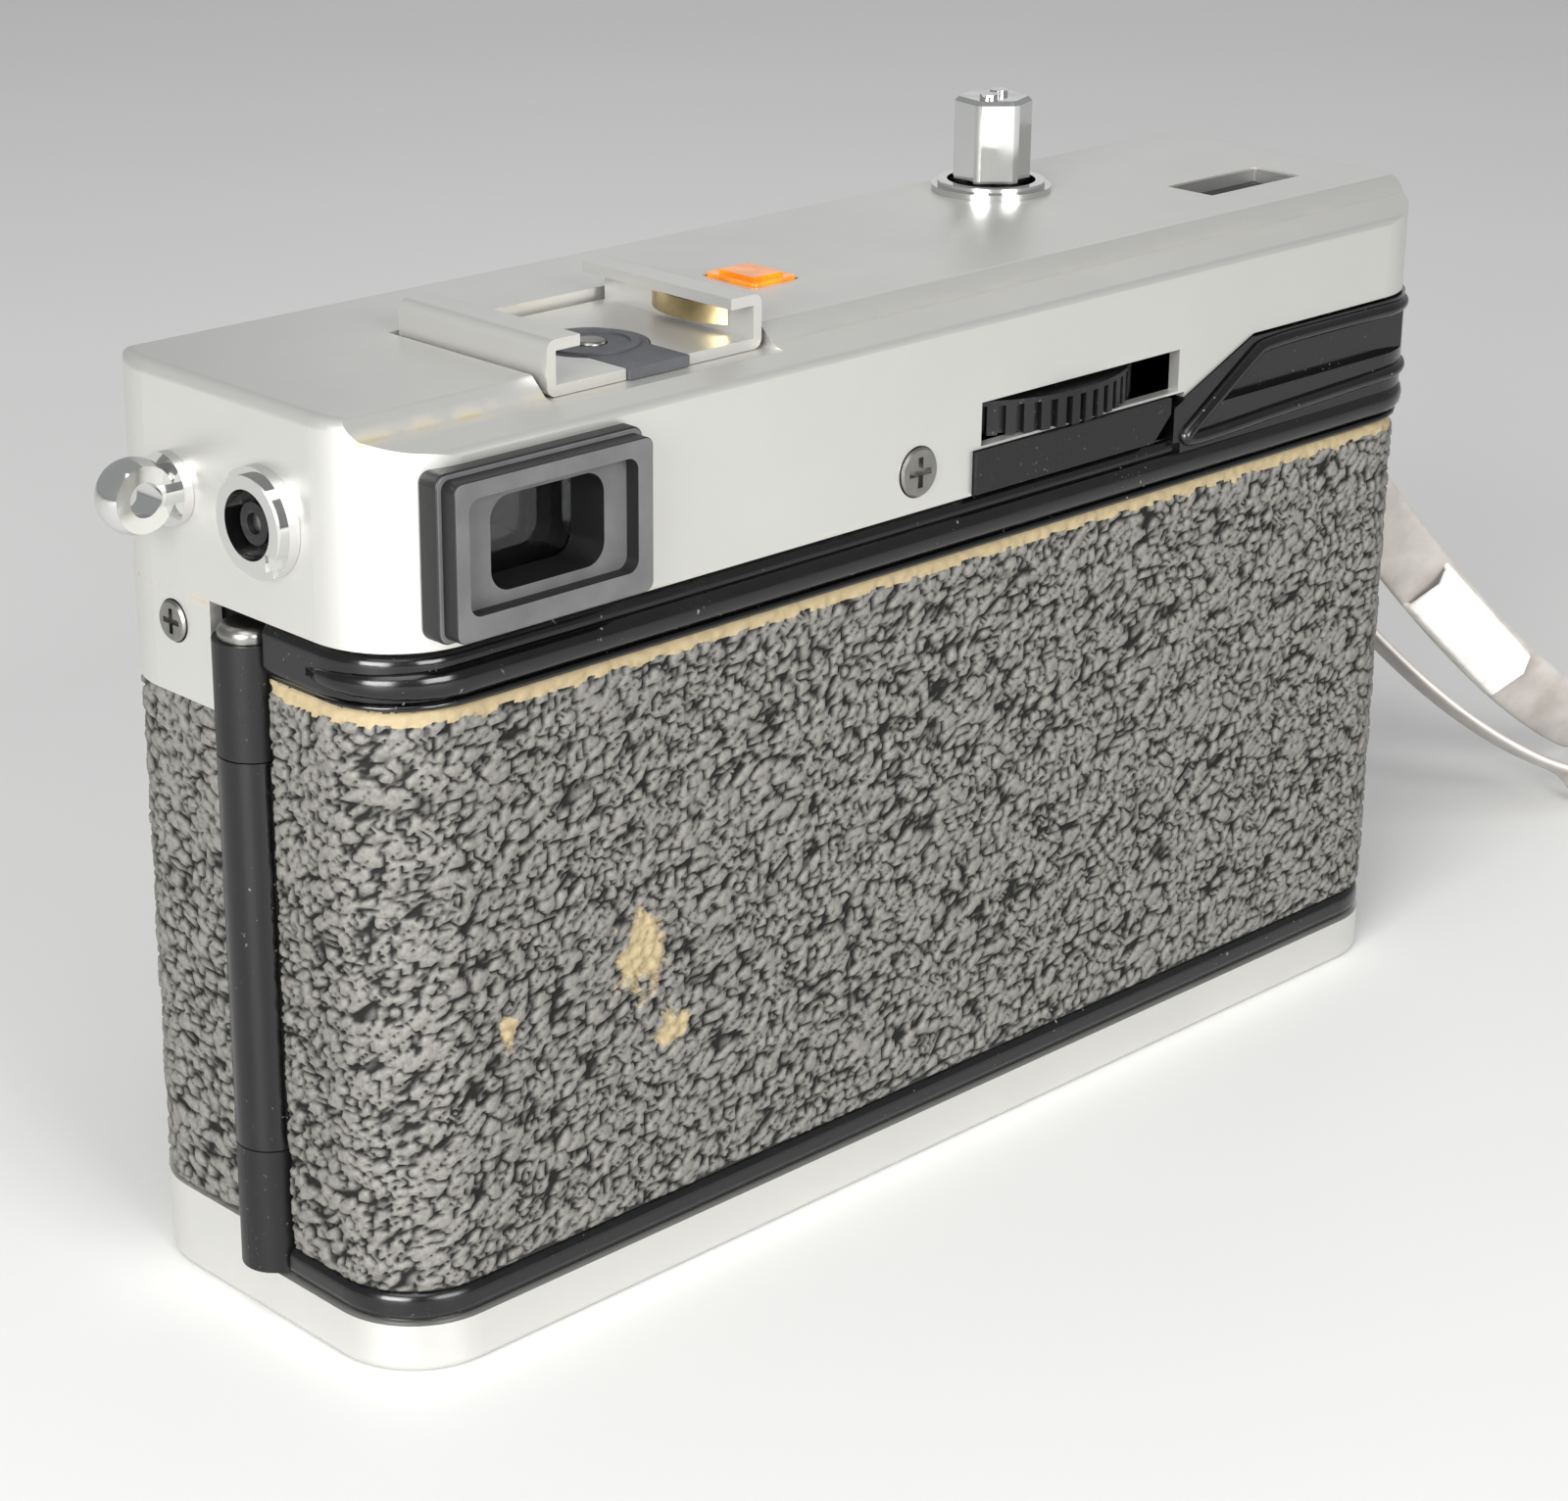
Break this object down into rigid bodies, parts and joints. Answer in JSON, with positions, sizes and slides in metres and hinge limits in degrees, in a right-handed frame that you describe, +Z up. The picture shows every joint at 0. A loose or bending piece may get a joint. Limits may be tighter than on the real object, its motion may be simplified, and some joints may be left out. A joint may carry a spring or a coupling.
{
  "type": "compact 35 mm viewfinder camera",
  "caption": "Compact 35 mm viewfinder camera with a thumbwheel advance, accessory shoe, hinged film door and a wrist strap.",
  "frame": {"origin": "mouth of the tripod socket, in the middle of the base", "axes": "+X towards the flash-socket end, -Y the way the lens looks, +Z up out of the deck"},
  "size_m": [0.2363, 0.0861, 0.0784],
  "materials": {
    "satin_silver": "satin plated pressed metal",
    "bright_chrome": "polished plate",
    "steel": "turned",
    "black_moulding": "glossy moulded",
    "matt_black": "matt moulded",
    "dark_metal": "black enamel",
    "leatherette": "pebbled grain",
    "cast_body": "blackened casting",
    "grey_insulator": "moulded",
    "brass": "turned",
    "amber": "moulded amber",
    "orange_paint": "painted",
    "clear": "clear",
    "coated_glass": "coated optical",
    "vinyl_band": "smooth grey vinyl",
    "white_sleeve": "moulded white"
  },
  "bodies": {
    "camera": {"top_cover": "satin_silver", "bottom_plate": "satin_silver", "chassis": "cast_body", "front_leather": "leatherette", "hinge_knuckles": "dark_metal", "hinge_pin": "steel", "pressure_springs": "steel", "finder_frame": "matt_black", "eyepiece_lens": "clear", "finder_tube": "matt_black", "finder_window": "clear", "finder_bezel": "matt_black", "accessory_shoe": "satin_silver", "shoe_insulator": "grey_insulator", "shoe_contact": "steel", "shoe_spring": "brass", "lamp_window": "amber", "counter_window": "clear", "counter_index": "orange_paint", "release_collar": "bright_chrome", "release_spring": "steel", "wheel_shield": "matt_black", "left_lug": "bright_chrome", "right_lug": "bright_chrome", "flash_socket": "bright_chrome", "flash_insulator": "matt_black", "flash_pin": "steel", "lens_base": "dark_metal", "lens_barrel": "dark_metal", "lens_bezel": "dark_metal", "meter_eye": "coated_glass", "front_glass": "coated_glass", "rear_glass": "coated_glass", "lens_cells": "dark_metal", "shutter_plate": "dark_metal", "shutter_blades": "dark_metal", "tripod_socket": "steel", "battery_cover": "satin_silver", "battery": "steel", "cover_screws": "steel", "base_screws": "steel", "strap_ring": "bright_chrome", "strap_band": "vinyl_band", "strap_sleeve": "white_sleeve"},
    "door": {"back_door": "black_moulding", "door_leather": "leatherette"},
    "plate": {"pressure_plate": "matt_black"},
    "latch": {"door_latch": "satin_silver"},
    "release": {"release_button": "bright_chrome"},
    "wheel": {"thumbwheel": "dark_metal"},
    "counter": {"counter_dial": "dark_metal"},
    "spool": {"take_up_spool": "matt_black"},
    "film_sprocket": {"sprocket": "steel"},
    "rewind": {"rewind_fork": "steel", "rewind_knob": "satin_silver"},
    "crank": {"rewind_crank": "satin_silver"},
    "rewind_button": {"rewind_release": "bright_chrome"},
    "exposure": {"exposure_ring": "dark_metal"},
    "focus": {"focus_ring": "dark_metal"},
    "speed": {"speed_ring": "satin_silver"}
  },
  "joints": [
    {"name": "door_hinge", "type": "hinge", "parent": "camera", "child": "door", "pos_m": [0.0563, 0.00015, 0], "axis": [0, 0, -1], "range_deg": [0, 105]},
    {"name": "plate_float", "type": "slide", "parent": "door", "child": "plate", "axis": [0, 1, 0], "range_m": [0, 0.0003], "stiffness_N_per_m": 300, "deforming": ["pressure_springs"]},
    {"name": "latch_slide", "type": "slide", "parent": "camera", "child": "latch", "axis": [0, 0, -1], "range_m": [0, 0.003], "stiffness_N_per_m": 200, "springref_m": -0.002},
    {"name": "release_press", "type": "slide", "parent": "camera", "child": "release", "axis": [0, 0, -1], "range_m": [0, 0.0022], "stiffness_N_per_m": 400, "springref_m": -0.002, "deforming": ["release_spring"]},
    {"name": "wheel_turn", "type": "hinge", "parent": "camera", "child": "wheel", "pos_m": [-0.0105, 0.0018, 0], "axis": [0, 0, 1], "continuous": true},
    {"name": "sprocket_turn", "type": "hinge", "parent": "camera", "child": "film_sprocket", "pos_m": [-0.024, 0.0041, 0], "axis": [0, 0, 1], "continuous": true},
    {"name": "spool_turn", "type": "hinge", "parent": "camera", "child": "spool", "pos_m": [-0.0428, 0, 0], "axis": [0, 0, 1], "continuous": true},
    {"name": "counter_turn", "type": "hinge", "parent": "camera", "child": "counter", "pos_m": [-0.0442, -0.0031, 0], "axis": [0, 0, 1], "continuous": true},
    {"name": "rewind_turn", "type": "hinge", "parent": "camera", "child": "rewind", "pos_m": [0.0405, -0.0005, 0], "axis": [0, 0, -1], "continuous": true},
    {"name": "crank_fold", "type": "hinge", "parent": "rewind", "child": "crank", "pos_m": [0.0351, -0.0005, 0.00075], "axis": [0, 1, 0], "range_deg": [0, 100]},
    {"name": "rewind_button_press", "type": "slide", "parent": "camera", "child": "rewind_button", "axis": [0, 0, 1], "range_m": [0, 0.001], "stiffness_N_per_m": 300, "springref_m": -0.001},
    {"name": "exposure_turn", "type": "hinge", "parent": "camera", "child": "exposure", "pos_m": [0.0035, 0, 0.0295], "axis": [0, -1, 0], "range_deg": [0, 120]},
    {"name": "focus_turn", "type": "hinge", "parent": "camera", "child": "focus", "pos_m": [0.0035, 0, 0.0295], "axis": [0, -1, 0], "range_deg": [-45, 45]},
    {"name": "speed_turn", "type": "hinge", "parent": "camera", "child": "speed", "pos_m": [0.0035, 0, 0.0295], "axis": [0, -1, 0], "range_deg": [0, 90]}
  ],
  "couplings": [
    {"joint": "sprocket_turn", "follows": "wheel_turn", "ratio": 1.8},
    {"joint": "spool_turn", "follows": "wheel_turn", "ratio": 1.5},
    {"joint": "counter_turn", "follows": "wheel_turn", "ratio": 0.05}
  ]
}
